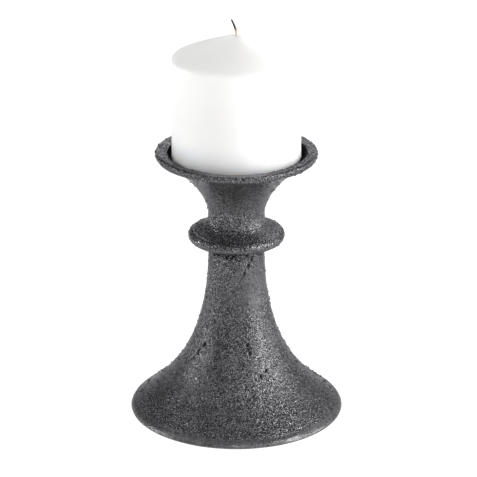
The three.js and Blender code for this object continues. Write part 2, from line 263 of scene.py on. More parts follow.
def crust_at(points):
    """How crusty the cast skin is at each point, from 0, nearly smooth, to CRUST_MOST."""
    height = points[:, 2]
    near_rim = rise(height, *RIM_CRUST_BAND)
    under_cup = rise(height, *CUP_SMOOTH_BAND) * (1 - near_rim)
    crust = (
        layered(points, CRUST_LEVEL, CRUST_LAYERS) * (1 - CUP_SMOOTHNESS * under_cup)
        + RING_CRUST * near(height - ring_top_z, RING_CRUST_REACH)
        + RIM_CRUST * near_rim
    )
    for centre, reach, amount in CRUST_PATCHES:
        crust += amount * near_point(points, centre, reach)
    return np.clip(crust, 0, CRUST_MOST)


def seam_at(points):
    """Ragged casting seams below the ring and in the crusty patches, from 0 to 1."""
    wander = [layered(points, 0, [layer]) for layer in SEAM_WANDER]
    wandering = points + np.stack(wander, axis=1)
    seams = np.zeros(len(points))
    for start, end, width in SEAMS:
        along = end - start
        share = np.clip((points - start) @ along / (along @ along), 0, 1)
        nearest = start + share[:, None] * along
        distance = np.linalg.norm(wandering - nearest, axis=1)
        reach = width * (SEAM_START_WIDTH - SEAM_NARROWING * share)
        seams = np.maximum(seams, near(distance, reach))
    return seams * np.clip(layered(points, SEAM_LEVEL, SEAM_LAYERS), 0, 1)


# ---- wear and painted light

bead_z = ring_bottom_z + BEAD_CENTRE_RISE
ring_marks_z = ring_bottom_z - 1.0

WEAR_LAYERS = ((0.5, 3.0, 61), (0.4, 1.2, 62))
EDGE_RAGGEDNESS = 0.35
FOOT_WEAR_AND_PAINTED_LIGHT = 0.7
FOOT_WEAR_BAND = (foot_radius - 6.0, foot_radius - 5.0)
FOOT_WEAR_HEIGHTS = (foot_z + 3.8, foot_z + 4.8)
FOOT_RAGGEDNESS = 0.4
RIM_WEAR = 0.15
RIM_WEAR_BAND = (rim_radius - 4.5, rim_radius - 2.0)
RIM_WEAR_HEIGHTS = (rim_z - 0.8, rim_z)
RIM_WEAR_LOWEST = rim_z - 6.0
BEAD_WEAR = 0.4
BEAD_WEAR_BAND = (BEAD_CENTRE_RADIUS, BEAD_CENTRE_RADIUS + 2.0)
BEAD_WEAR_HEIGHTS = (bead_z - 0.5, bead_z + 1.5)
LIP_INNER_BAND = (rim_radius - 8.5, rim_radius - 7.5)
LIP_OUTER_BAND = (rim_radius - 2.0, rim_radius - 1.6)
LIP_PAINTED_LIGHT_LOWEST = rim_z - 1.6
LIP_PAINTED_LIGHT_FACING = (0.75, 0.95)
LIP_RAGGEDNESS = 0.15
RIGHT_PAINTED_LIGHT = 0.4
RIGHT_PAINTED_LIGHT_CENTRE = on_surface(60, 19, 122)
RIGHT_PAINTED_LIGHT_REACH = 15.0


def wear_and_painted_light_at(points):
    """Where handling and grinding have left the edges smoother and lighter, from 0 to 1; part of
    the lightness is painted light: a painted reflection on the foot's edge band, painted light on
    the front of the lip and on the neck's right side.
    """
    radius, height = radius_of(points), points[:, 2]
    ragged = layered(points, 0, WEAR_LAYERS)
    # Foot edge band: ground smoother, and lighter as a painted reflection of the floor.
    foot_start, foot_end = FOOT_WEAR_HEIGHTS
    foot = fall(height, foot_start - FOOT_RAGGEDNESS * ragged, foot_end)
    foot = FOOT_WEAR_AND_PAINTED_LIGHT * (rise(radius, *FOOT_WEAR_BAND) * foot)
    rim = rise(radius, *RIM_WEAR_BAND) * fall(height, *RIM_WEAR_HEIGHTS)
    rim = RIM_WEAR * (rim * (height > RIM_WEAR_LOWEST))
    bead = rise(radius, *BEAD_WEAR_BAND) * fall(height, *BEAD_WEAR_HEIGHTS)
    bead = BEAD_WEAR * (bead * (height > ring_marks_z))
    edges = np.maximum.reduce([foot, rim, bead]) * (1 + EDGE_RAGGEDNESS * ragged)
    # Painted light: only the front of the lip is made lighter and smoother.
    lip = rise(radius, *LIP_INNER_BAND) * fall(radius, *LIP_OUTER_BAND)
    lip = lip * (height > LIP_PAINTED_LIGHT_LOWEST) * rise(-points[:, 1] / radius, *LIP_PAINTED_LIGHT_FACING)
    lip = lip * (1 + LIP_RAGGEDNESS * ragged)
    # Painted light: the neck's right side is made lighter and smoother.
    lit_right_side = RIGHT_PAINTED_LIGHT * near_point(points, RIGHT_PAINTED_LIGHT_CENTRE, RIGHT_PAINTED_LIGHT_REACH)
    return np.clip(np.maximum.reduce([edges, lit_right_side, lip]), 0, 1)


# ---- grooves, joints and painted shade

lip_radius = rim_radius - CREST_INSET - LIP_WIDTH

GROOVE_MIDDLE = rim_radius - CREST_INSET - GROOVE_WIDTH / 2
GROOVE_LAYERS = ((0.2, 9.0, 65),)
GROOVE_FACING = (0.1, 0.4)
GROOVE_LOWEST = rim_z - 1.5
SHADE_RAGGED_LEVEL = 0.4
SHADE_RAGGED_LAYERS = ((0.3, 1.4, 63), (0.6, 0.7, 64))
JOINT_PAINTED_SHADE = 1.3
UNDER_RING_DROP = 4.0
UNDER_RING_REACH = 2.4
UNDER_RING_RADIUS = BELL_TOP_RADIUS + 3.5
UNDER_BEAD_PAINTED_SHADE = 0.6
UNDER_BEAD_HEIGHTS = (bead_z - 3.2, bead_z - 1.6)
UNDER_BEAD_RADIUS = 20.0
NECK_FOOT_PAINTED_SHADE = 0.35
NECK_FOOT_REACH = 0.5
GROOVE_PAINTED_SHADE = 0.85
GROOVE_RAGGEDNESS = 0.5
SHADE_WIDTH = 0.4
SHADE_START_SHARE = 0.4
SHADE_FADE = 0.6
SHADE_BAND = (candle_radius - 4.0, candle_radius - 1.0)
SHADE_LOWEST = rim_z - RECESS_DEPTH - 0.5
SIDE_SHADE_WIDTH = 1.8
SIDE_SHADE_RIGHTWARD = (0.2, 0.7)
SIDE_SHADE_BACKWARD = (-0.6, -0.1)


def groove_at(points):
    """A shallow crease that follows the rim's crest round its front, from 0 to 1."""
    radius, height = radius_of(points), points[:, 2]
    front = rise(-points[:, 1] / radius, *GROOVE_FACING) * (height > GROOVE_LOWEST)
    off_middle = radius - layered(points, GROOVE_MIDDLE, GROOVE_LAYERS)
    return front * near(off_middle, 0.5 * GROOVE_WIDTH)


def recess_shade_at(points):
    """Shade between candle and lip, widest on the right and behind, from 0 to 1."""
    radius, height = radius_of(points), points[:, 2]
    rightward = rise(points[:, 0] / radius, *SIDE_SHADE_RIGHTWARD)
    backward = rise(points[:, 1] / radius, *SIDE_SHADE_BACKWARD)
    width = SHADE_WIDTH + SIDE_SHADE_WIDTH * rightward * backward
    shade = fall(radius, lip_radius + SHADE_START_SHARE * width, lip_radius + width + SHADE_FADE)
    return shade * rise(radius, *SHADE_BAND) * (height > SHADE_LOWEST)


def painted_shade_and_seams_at(points):
    """Painted shade in the joints, the groove and the recess, and the dark casting seams, from 0
    to 1.
    """
    radius, height = radius_of(points), points[:, 2]
    ragged = layered(points, SHADE_RAGGED_LEVEL, SHADE_RAGGED_LAYERS)
    # Painted shade: the ring's shadow on the bell just under it, shade where the neck meets the
    # ring, and shade under the bead.
    under_ring = near(height - ring_bottom_z + UNDER_RING_DROP, UNDER_RING_REACH)
    under_ring = under_ring * (radius < UNDER_RING_RADIUS)
    neck_foot = NECK_FOOT_PAINTED_SHADE * near(height - ring_top_z, NECK_FOOT_REACH)
    under_bead = UNDER_BEAD_PAINTED_SHADE * fall(height, *UNDER_BEAD_HEIGHTS)
    under_bead = under_bead * (radius > UNDER_BEAD_RADIUS) * (height > ring_marks_z)
    joints = (under_ring + neck_foot) * JOINT_PAINTED_SHADE * ragged + under_bead
    # Painted shade darkens the groove along the rim's crest.
    groove = groove_at(points) * (GROOVE_PAINTED_SHADE + GROOVE_RAGGEDNESS * ragged)
    deepest = np.maximum.reduce([joints, groove, recess_shade_at(points), seam_at(points)])
    return np.clip(deepest, 0, 1)


# ---- relief of the cast skin

NODULES = {"spacing": 2.1, "radius": 0.95, "seed": 40}
NODULE_HEIGHT = 0.85
NODULE_SHARE = 0.2
RING_NODULE_SHARE = 0.35
RING_NODULE_REACH = 9.0
RIM_NODULE_SHARE = 0.45
RIM_NODULE_BAND = (rim_z - 6.0, rim_z - 3.0)
GRAINS = {"spacing": 1.7, "radius": 1.0, "share": 0.55, "seed": 20}
GRAIN_HEIGHT = 0.04
CRUST_GRAIN_HEIGHT = 0.17
WAVE_LAYERS = ((0.11, 6.5, 12), (0.035, 2.2, 13))
PEBBLE_HEIGHT = 0.02
CRUST_PEBBLE_HEIGHT = 0.06
PEBBLE_SIZE = 1.1
PEBBLE_SEED = 14
WEAR_SMOOTHING = 0.7
FOOT_EDGE_BAND = (foot_radius - 5.0, foot_radius - 3.0)


def nodules_at(points):
    """Round crumbs of metal left on the skin, commonest about the rim and the ring."""
    height = points[:, 2]
    share = (
        NODULE_SHARE
        + RING_NODULE_SHARE * near(height - ring_top_z, RING_NODULE_REACH)
        + RIM_NODULE_SHARE * rise(height, *RIM_NODULE_BAND)
    )
    return grains(points, share=share, **NODULES)


def cast_relief(points):
    """How far the rough cast skin stands out of the turned shape at each point, in mm."""
    crust, wear_and_painted_light = crust_at(points), wear_and_painted_light_at(points)
    pebbles = (PEBBLE_HEIGHT + CRUST_PEBBLE_HEIGHT * crust, PEBBLE_SIZE, PEBBLE_SEED)
    relief = layered(points, 0, WAVE_LAYERS + (pebbles,))
    relief += (GRAIN_HEIGHT + CRUST_GRAIN_HEIGHT * crust) * grains(points, **GRAINS)
    relief = relief * (1 - WEAR_SMOOTHING * wear_and_painted_light)
    on_foot_edge = rise(radius_of(points), *FOOT_EDGE_BAND)
    relief += NODULE_HEIGHT * nodules_at(points) * (1 - on_foot_edge) * (1 - wear_and_painted_light)
    return relief - GROOVE_DEPTH * groove_at(points) - SEAM_DEPTH * seam_at(points)


def cast_marks(points):
    """What the cast metal's material reads at each point, from 0 to 1."""
    return {
        "crust": crust_at(points) / CRUST_MOST,
        "wear_and_painted_light": wear_and_painted_light_at(points),
        "painted_shade_and_seams": painted_shade_and_seams_at(points),
    }


# ---- outlines

def bezier(points, count):
    """Points along a Bezier curve of any degree."""
    t = np.linspace(0, 1, count)[:, None]
    degree = len(points) - 1
    total = np.zeros((count, 2))
    for index, point in enumerate(points):
        share = math.comb(degree, index) * t**index * (1 - t) ** (degree - index)
        total += share * np.array(point, float)
    return total


def arc(centre, half_width, half_height, start, end, count=60):
    """Points along part of an ellipse; angles in degrees."""
    angle = np.radians(np.linspace(start, end, count))
    across = centre[0] + half_width * np.cos(angle)
    up = centre[1] + half_height * np.sin(angle)
    return np.stack([across, up], axis=1)


def lengths_along(points):
    """How far along the line each of its points lies."""
    return np.concatenate([[0], np.cumsum(np.linalg.norm(np.diff(points, axis=0), axis=1))])


def evenly(points, step):
    """The same outline with points about a step apart."""
    points = np.array(points, float)
    along = lengths_along(points)
    count = max(2, int(round(along[-1] / step)) + 1)
    at = np.linspace(0, along[-1], count)
    return np.stack([np.interp(at, along, points[:, axis]) for axis in range(2)], axis=1)


class Outline:
    """A turned outline, put together from runs that each have their own fineness and roughness."""

    def __init__(self):
        self.points = []
        self.segments = []
        self.rough = []

    def run(self, points, step, segments, rough):
        """Adds a run; its first point is left out where it repeats the last one."""
        fine = evenly(points, step)
        if self.points and np.linalg.norm(self.points[-1] - fine[0]) < TINY:
            fine = fine[1:]
        for point in fine:
            self.points.append(point)
            self.segments.append(1 if point[0] < TINY else segments)
            self.rough.append(rough)

    def arrays(self):
        """Points, segments and roughness, without a last point that repeats the first."""
        points = np.array(self.points)
        last = -1 if np.linalg.norm(points[0] - points[-1]) < TINY else None
        return points[:last], self.segments[:last], np.array(self.rough[:last])


def normals_2d(points, is_loop):
    """Directions square to the outline, to the right of its travel."""
    if is_loop:
        along = np.roll(points, -1, axis=0) - np.roll(points, 1, axis=0)
    else:
        along = np.gradient(points, axis=0)
    along /= np.maximum(np.linalg.norm(along, axis=1), TINY)[:, None]
    return np.stack([along[:, 1], -along[:, 0]], axis=1)


# ---- meshes

def join_rows(lower, upper):
    """Faces between two rows of vertex numbers whose lengths are alike or a whole multiple."""
    if len(lower) > len(upper):
        return [face[::-1] for face in join_rows(upper, lower)]
    few, many = len(lower), len(upper)
    ratio = many // few
    faces = []
    for index in range(few):
        here = lower[index]
        following = lower[(index + 1) % few]
        fan = [upper[(index * ratio + step) % many] for step in range(ratio + 1)]
        if ratio == 1:
            faces.append((here, following, fan[1], fan[0]))
            continue
        if few == 1:
            faces += [(here, fan[step + 1], fan[step]) for step in range(ratio)]
            continue
        half = ratio // 2
        faces += [(here, fan[step + 1], fan[step]) for step in range(half)]
        faces.append((here, following, fan[half]))
        faces += [(following, fan[step + 1], fan[step]) for step in range(half, ratio)]
    return faces


def in_scene(name, data):
    """A new object that shows the data."""
    obj = bpy.data.objects.new(name, data)
    bpy.context.scene.collection.objects.link(obj)
    return obj


def signed_volume(points, faces):
    """Positive where the faces point out."""
    total = 0.0
    for size in (3, 4):
        some = np.array([face for face in faces if len(face) == size], int)
        if not len(some):
            continue
        first = points[some[:, 0]]
        for corner in range(1, size - 1):
            cross = np.cross(points[some[:, corner]], points[some[:, corner + 1]])
            total += np.einsum("ij,ij->", first, cross)
    return total


def mesh_object(name, points_mm, faces, material):
    """A smooth shaded mesh object from points in mm."""
    if signed_volume(points_mm, faces) < 0:
        faces = [face[::-1] for face in faces]
    mesh = bpy.data.meshes.new(name)
    mesh.from_pydata((points_mm * MM).tolist(), [], faces)
    mesh.polygons.foreach_set("use_smooth", [True] * len(mesh.polygons))
    mesh.update()
    mesh.materials.append(material)
    return in_scene(name, mesh)


def around(radius, height, angle):
    """Points or directions turned about Z to each of the angles."""
    level = np.full(len(angle), height)
    return np.stack([radius * np.cos(angle), radius * np.sin(angle), level], axis=1)


def turned(name, outline, material, relief, marks=None):
    """Turns an outline about Z and pushes its rough parts out along their normals.

    relief(points) is how far to push, in mm, and marks(points) what the material reads there.
    """
    points, segments, rough = outline.arrays()
    is_loop = points[0][0] > TINY
    sideways = normals_2d(points, is_loop)
    if not is_loop:
        sideways[0] = (0, -1)
        sideways[-1] = (0, 1)
    rows, rings, directions, weights = [], [], [], []
    total = 0
    for point, count, side, weight in zip(points, segments, sideways, rough):
        angle = np.arange(count) * 2 * math.pi / count
        rows.append(list(range(total, total + count)))
        rings.append(around(*point, angle))
        directions.append(around(*side, angle))
        weights.append(np.full(count, weight))
        total += count
    faces = []
    for lower, upper in zip(rows, rows[1:] + ([rows[0]] if is_loop else [])):
        faces += join_rows(lower, upper)
    smooth = np.concatenate(rings)
    outward = np.concatenate(directions) * np.sign(signed_volume(smooth, faces))
    amount = np.concatenate(weights) * relief(smooth)
    obj = mesh_object(name, smooth + outward * amount[:, None], faces, material)
    for mark_name, values in (marks(smooth) if marks else {}).items():
        attribute = obj.data.attributes.new(mark_name, "FLOAT", "POINT")
        attribute.data.foreach_set("value", values)
    return obj


def capped_tube(name, rings, ends, material):
    """A mesh through rings of points, closed by one point at each end."""
    sides = len(rings[0])
    rows = [list(range(index * sides, (index + 1) * sides)) for index in range(len(rings))]
    count = len(rings) * sides
    faces = []
    for lower, upper in zip(rows, rows[1:]):
        faces += join_rows(lower, upper)
    faces += join_rows([count], rows[0]) + join_rows(rows[-1], [count + 1])
    return mesh_object(name, np.concatenate([*rings, ends]), faces, material)


# ---- material helpers

def new_material(name, values):
    """A material with its node tree and a position to work from; values go to its shader."""
    material = bpy.data.materials.new(name)
    material.use_nodes = True
    tree = material.node_tree
    for key, value in values.items():
        tree.nodes["Principled BSDF"].inputs[key].default_value = value
    position = add_node(tree, "ShaderNodeTexCoord").outputs["Object"]
    return material, tree, position


def link_up(tree, outputs):
    """Links each output to the shader's input of that name."""
    for key, output in outputs.items():
        tree.links.new(output, tree.nodes["Principled BSDF"].inputs[key])


def add_node(tree, kind, inputs=None, **settings):
    """A node with its settings and its unlinked input values."""
    node = tree.nodes.new(kind)
    for key, value in settings.items():
        setattr(node, key, value)
    for key, value in (inputs or {}).items():
        node.inputs[key].default_value = value
    return node


def ramp(tree, source, stops):
    """A colour ramp over (position, grey or colour) stops."""
    node = tree.nodes.new("ShaderNodeValToRGB")
    elements = node.color_ramp.elements
    while len(elements) < len(stops):
        elements.new(0.5)
    for element, (position, colour) in zip(elements, stops):
        element.position = position
        grey = (colour,) * 3 if isinstance(colour, (int, float)) else colour
        element.color = (*grey, 1)
    tree.links.new(source, node.inputs["Fac"])
    return node.outputs["Color"]


def mixed(tree, kind, first, second, amount=None):
    """Two colours put together by one blend kind, fully or by a linked amount."""
    node = add_node(tree, "ShaderNodeMix", data_type="RGBA", blend_type=kind)
    node.inputs["Factor"].default_value = 1.0
    if amount is not None:
        tree.links.new(amount, node.inputs["Factor"])
    tree.links.new(first, node.inputs["A"])
    tree.links.new(second, node.inputs["B"])
    return node.outputs["Result"]


def times(tree, first, second):
    """Two colours multiplied."""
    return mixed(tree, "MULTIPLY", first, second)


def mark(tree, name):
    """A number from 0 to 1 that the mesh carries at its points."""
    return add_node(tree, "ShaderNodeAttribute", attribute_name=name).outputs["Fac"]


def height_share(tree, position, low_z, high_z):
    """How far up each point lies between two heights in mm, from 0 to 1."""
    split = add_node(tree, "ShaderNodeSeparateXYZ")
    tree.links.new(position, split.inputs["Vector"])
    limits = {"From Min": low_z * MM, "From Max": high_z * MM}
    node = add_node(tree, "ShaderNodeMapRange", limits)
    tree.links.new(split.outputs["Z"], node.inputs["Value"])
    return node.outputs["Result"]


def noise_at(tree, position, size_mm, detail=2.0, roughness=0.5):
    """Noise whose waves are about size_mm across."""
    settings = {"Scale": 1 / (size_mm * MM), "Detail": detail, "Roughness": roughness}
    node = add_node(tree, "ShaderNodeTexNoise", settings)
    tree.links.new(position, node.inputs["Vector"])
    return node.outputs["Fac"]


def cells_at(tree, position, size_mm, output="Distance"):
    """Cells about size_mm across: the distance from their middle, or a colour for each."""
    node = add_node(tree, "ShaderNodeTexVoronoi", {"Scale": 1 / (size_mm * MM)})
    tree.links.new(position, node.inputs["Vector"])
    return node.outputs[output]


def bumped(tree, height, depth_mm, strength, under=None):
    """A normal tilted by a height map; depth_mm is what a full step of height is worth."""
    node = add_node(tree, "ShaderNodeBump", {"Strength": strength, "Distance": depth_mm * MM})
    tree.links.new(height, node.inputs["Height"])
    if under is not None:
        tree.links.new(under, node.inputs["Normal"])
    return node.outputs["Normal"]


# ---- materials

CRUMB_SIZE = 0.75
FLAKE_SIZE = 0.6
GRIT_SIZE = 0.43
PIT_SIZE = 2.0
DENT_SIZE = 3.5
MOTTLE_SIZE = 14.0
GRIT_COLOURS = (
    (0.38, (0.003, 0.003, 0.003)),
    (0.47, (0.018, 0.018, 0.019)),
    (0.53, (0.052, 0.051, 0.054)),
    (0.62, (0.54, 0.528, 0.556)),
)
FLAT_COLOURS = ((0.2, (0.078, 0.078, 0.08)), (0.8, (0.151, 0.15, 0.154)))
POLISHED_AND_PAINTED_LIGHT_COLOURS = ((0.3, (0.21, 0.207, 0.213)), (0.7, (0.37, 0.362, 0.376)))
POLISHED_AND_PAINTED_LIGHT_SHARE = ((0.0, 0.0), (0.7, 0.75), (1.0, 1.0))
WAX_COLOURS_WITH_PAINTED_LIGHT = (
    (0.08, (0.985, 0.983, 0.97)),
    (0.38, (0.9, 0.898, 0.885)),
    (1.0, (0.93, 0.928, 0.915)),
)
WAX_LIGHT_DEPTH = 10.0
BURN_COLOURS = (
    (0.0, (0.86, 0.70, 0.52)),
    (0.35, (0.62, 0.36, 0.20)),
    (0.6, (0.07, 0.04, 0.03)),
    (1.0, (0.012, 0.011, 0.011)),
)


def cast_metal_material():
    """Dark, gritty cast skin: close grains, darkened by painted shade in joints, the groove and
    the recess, lighter and smoother where worn and where light is painted.
    """
    values = {"Metallic": 0.7, "Specular Tint": (0.55, 0.55, 0.57, 1)}
    material, tree, position = new_material("cast_metal", values)
    crumbs = cells_at(tree, position, CRUMB_SIZE)
    flakes = cells_at(tree, position, FLAKE_SIZE, "Color")
    fine = noise_at(tree, position, GRIT_SIZE, detail=1.0)
    coarse = noise_at(tree, position, DENT_SIZE)
    mottle = noise_at(tree, position, MOTTLE_SIZE, detail=4.0, roughness=0.6)
    crust = mark(tree, "crust")
    wear_and_painted_light = mark(tree, "wear_and_painted_light")
    crusty = ramp(tree, crust, [(0.0, 0.1), (0.6, 0.26)])
    relief = times(tree, crusty, ramp(tree, wear_and_painted_light, [(0.0, 1.0), (1.0, 0.5)]))
    pits = ramp(tree, cells_at(tree, position, PIT_SIZE), [(0.08, 0.35), (0.18, 1.0)])
    grit = ramp(tree, fine, GRIT_COLOURS)
    colour = times(tree, grit, ramp(tree, crumbs, [(0.25, 1.0), (0.7, 0.6)]))
    flat = ramp(tree, flakes, FLAT_COLOURS)
    colour = mixed(tree, "MIX", flat, colour, ramp(tree, crust, [(0.0, 0.3), (0.33, 1.0)]))
    colour = times(tree, colour, pits)
    # Lighter, smoother colour for wear, and painted light on the lip's front, the neck's right
    # side and the foot's edge band.
    polished_and_painted_light = ramp(tree, fine, POLISHED_AND_PAINTED_LIGHT_COLOURS)
    polished_and_painted_light = times(tree, polished_and_painted_light, ramp(tree, wear_and_painted_light, [(0.7, 0.52), (1.0, 1.0)]))
    colour = mixed(tree, "MIX", colour, polished_and_painted_light, ramp(tree, wear_and_painted_light, POLISHED_AND_PAINTED_LIGHT_SHARE))
    colour = times(tree, colour, ramp(tree, mottle, [(0.35, 0.8), (0.65, 1.0)]))
    painted_shade_and_seams = mark(tree, "painted_shade_and_seams")
    # Painted shade: joints, the groove and the recess are darkened here, as are the casting seams.
    colour = times(tree, colour, ramp(tree, painted_shade_and_seams, [(0.2, 1.0), (0.9, 0.05)]))
    rough = ramp(tree, flakes, [(0.3, 0.13), (0.5, 0.44)])
    rough = mixed(tree, "LIGHTEN", rough, ramp(tree, painted_shade_and_seams, [(0.3, 0.1), (0.9, 0.95)]))
    skin = bumped(tree, coarse, 0.35, 0.4)
    crumb_tops = ramp(tree, crumbs, [(0.0, 1.0), (0.8, 0.0)])
    skin = bumped(tree, times(tree, crumb_tops, relief), 0.5, 0.9, skin)
    skin = bumped(tree, times(tree, pits, relief), 0.3, 0.9, skin)
    skin = bumped(tree, times(tree, fine, relief), 0.5, 0.9, skin)
    link_up(tree, {"Base Color": colour, "Roughness": rough, "Normal": skin})
    return material


def wax_material():
    """Smooth white wax that light goes a little way into, palest near its foot, where painted
    light lifts the cup's shade.
    """
    material, tree, position = new_material("wax", {
        "Subsurface Weight": 0.9,
        "Subsurface Radius": (1.0, 0.95, 0.88),
        "Subsurface Scale": WAX_LIGHT_DEPTH * MM,
        "Roughness": 0.42,
        "IOR": 1.44,
    })
    # Painted light: the wax's colour goes by height, palest near the foot to lift the shade from
    # the cup.
    painted_light_by_height = ramp(tree, height_share(tree, position, candle_foot_z, candle_tip_z), WAX_COLOURS_WITH_PAINTED_LIGHT)
    cloud = ramp(tree, noise_at(tree, position, 26.0), [(0.3, 0.975), (0.7, 1.0)])
    waves = bumped(tree, noise_at(tree, position, 7.0, roughness=0.4), 0.1, 0.25)
    link_up(tree, {"Base Color": times(tree, painted_light_by_height, cloud), "Normal": waves})
    return material


def wick_material(cream_z, black_z):
    """Cream cotton that turns brown and then black towards its burnt end."""
    material, tree, position = new_material("wick_cotton", {"Roughness": 0.9})
    burn = ramp(tree, height_share(tree, position, cream_z, black_z), BURN_COLOURS)
    fibre = ramp(tree, noise_at(tree, position, 0.4, 3.0, 0.7), [(0.3, 0.7), (0.7, 1.0)])
    fuzz = bumped(tree, noise_at(tree, position, 0.3, 3.0, 0.7), 0.1, 0.7)
    link_up(tree, {"Base Color": times(tree, burn, fibre), "Normal": fuzz})
    return material


def steel_material():
    """Zinc-plated steel with a dull, slightly spangled skin."""
    material, tree, position = new_material("fastener_steel", {"Metallic": 0.9})
    spangle = cells_at(tree, position, 1.4, "Color")
    colour = ramp(tree, spangle, [(0.2, (0.46, 0.47, 0.48)), (0.8, (0.62, 0.63, 0.64))])
    rough = ramp(tree, noise_at(tree, position, 0.8, 3.0, 0.6), [(0.3, 0.28), (0.7, 0.5)])
    skin = bumped(tree, noise_at(tree, position, 0.5, 3.0, 0.6), 0.05, 0.4)
    link_up(tree, {"Base Color": colour, "Roughness": rough, "Normal": skin})
    return material


def tinplate_material():
    """Thin bright tin plate, lightly scratched."""
    material, tree, position = new_material("tinplate", {"Metallic": 1.0})
    scratch = noise_at(tree, position, 0.6, 4.0, 0.7)
    colour = ramp(tree, scratch, [(0.3, (0.55, 0.56, 0.57)), (0.7, (0.72, 0.73, 0.74))])
    rough = ramp(tree, scratch, [(0.3, 0.2), (0.7, 0.4)])
    skin = bumped(tree, scratch, 0.04, 0.3)
    link_up(tree, {"Base Color": colour, "Roughness": rough, "Normal": skin})
    return material


def felt_material():
    """Pressed black felt."""
    values = {"Roughness": 0.95, "Sheen Weight": 0.4}
    material, tree, position = new_material("felt", values)
    fibre = noise_at(tree, position, 0.35, 4.0, 0.75)
    colour = ramp(tree, fibre, [(0.3, (0.012, 0.012, 0.013)), (0.7, (0.05, 0.05, 0.052))])
    link_up(tree, {"Base Color": colour, "Normal": bumped(tree, fibre, 0.25, 0.9)})
    return material


def floor_material():
    """A white floor that stays white right up to the foot."""
    material, tree, position = new_material("studio_floor", {
        "Roughness": 0.9,
        "Emission Color": (1, 1, 1, 1),
        "Emission Strength": 1.0,
    })
    tint = ramp(tree, noise_at(tree, position, 600.0, detail=1.0), [(0.3, 0.14), (0.7, 0.16)])
    link_up(tree, {"Base Color": tint})
    return material


cast_metal = cast_metal_material()
wax = wax_material()
wick_cotton = wick_material(candle_tip_z + 1.0, candle_tip_z + 6.0)
steel = steel_material()
tinplate = tinplate_material()
felt = felt_material()

# ---- bell foot

CAST_SEGMENTS = 280
WIDE_SEGMENTS = 2 * CAST_SEGMENTS
INNER_SEGMENTS = CAST_SEGMENTS // 2
HOLE_SEGMENTS = CAST_SEGMENTS // 4


def bell_flare():
    """The bell's outline from the foot's ridge up to the ring."""
    ridge = np.array([foot_radius - FOOT_EDGE_RUN, foot_z + FOOT_TOE_HEIGHT + FOOT_EDGE_RISE])
    slope = np.array([-math.cos(FOOT_FLARE_ANGLE), math.sin(FOOT_FLARE_ANGLE)])
    top = np.array([BELL_TOP_RADIUS, bell_top_z])
    handles = [ridge + slope * FOOT_FLARE_REACH, top - (0, BELL_TOP_REACH)]
    return bezier([ridge, *handles, top], count=400)


def bell_hollow():
    """The hollow's outline, from under the crown down to the foot ring."""
    outer = bell_flare()
    inner = outer - normals_2d(outer, False) * BELL_WALL
    flat_radius = foot_radius - FOOT_RING_WIDTH
    crown_z = bell_top_z - CROWN_THICKNESS
    kept = inner[(inner[:, 0] < flat_radius) & (inner[:, 1] < crown_z)][::-1]
    return np.concatenate([[(kept[0][0], crown_z)], kept, [(flat_radius, kept[-1][1])]])


def foot_edge():
    """The foot's bulging outer face, from the underside up to the ridge."""
    widest = np.array([foot_radius, foot_z + FOOT_TOE_HEIGHT])
    ridge = np.array([foot_radius - FOOT_EDGE_RUN, widest[1] + FOOT_EDGE_RISE])
    chord = ridge - widest
    outward = np.array([chord[1], -chord[0]]) / np.linalg.norm(chord)
    corner = (foot_radius, foot_z)
    toe = bezier([(foot_radius - FOOT_TOE_ROUND, foot_z), corner, widest], count=12)
    bulge = (widest + ridge) / 2 + outward * 2 * FOOT_EDGE_BULGE
    face = bezier([widest, bulge, ridge], count=16)
    return np.concatenate([toe, face[1:]])


def bell_base():
    """The foot casting: its bore, hollow, foot ring, flare and the spigot for the ring."""
    flare = bell_flare()
    split = int(np.argmin(np.abs(flare[:, 0] - foot_radius / 2)))
    crown_z = bell_top_z - CROWN_THICKNESS
    seat_z = ring_bottom_z + SEAT_GAP
    spigot_top_z = bell_top_z + SPIGOT_LENGTH
    hole_radius = rod_radius + ROD_HOLE_CLEARANCE
    hollow = bell_hollow()
    ring_inner = (hollow[-1][0], foot_z)
    shoulder = (BELL_TOP_RADIUS, seat_z)
    spigot_top = (SPIGOT_RADIUS, spigot_top_z)
    outline = Outline()
    outline.run([(hole_radius, crown_z), hollow[0]], 2.5, HOLE_SEGMENTS, 0.2)
    outline.run(hollow, 1.6, INNER_SEGMENTS, 0.5)
    outline.run([hollow[-1], ring_inner], 1.6, CAST_SEGMENTS, 0.3)
    outline.run([ring_inner, (foot_radius - FOOT_TOE_ROUND, foot_z)], 1.6, CAST_SEGMENTS, 0.1)
    outline.run(foot_edge(), 0.55, WIDE_SEGMENTS, 0.6)
    outline.run(flare[:split], 0.6, WIDE_SEGMENTS, 1.0)
    outline.run(flare[split:], 0.6, CAST_SEGMENTS, 1.0)
    outline.run([flare[-1], shoulder], 0.6, CAST_SEGMENTS, 0.3)
    outline.run([shoulder, (SPIGOT_RADIUS, seat_z), spigot_top], 1.5, INNER_SEGMENTS, 0)
    bore = [spigot_top, (hole_radius, spigot_top_z), (hole_radius, crown_z)]
    outline.run(bore, 2.5, HOLE_SEGMENTS, 0)
    return turned("bell_base_skin", outline, cast_metal, cast_relief, cast_marks)


# ---- bead ring

RING_SEGMENTS = 360
RING_BORE_SEGMENTS = RING_SEGMENTS // 2
RING_TOP_LAND = 0.6


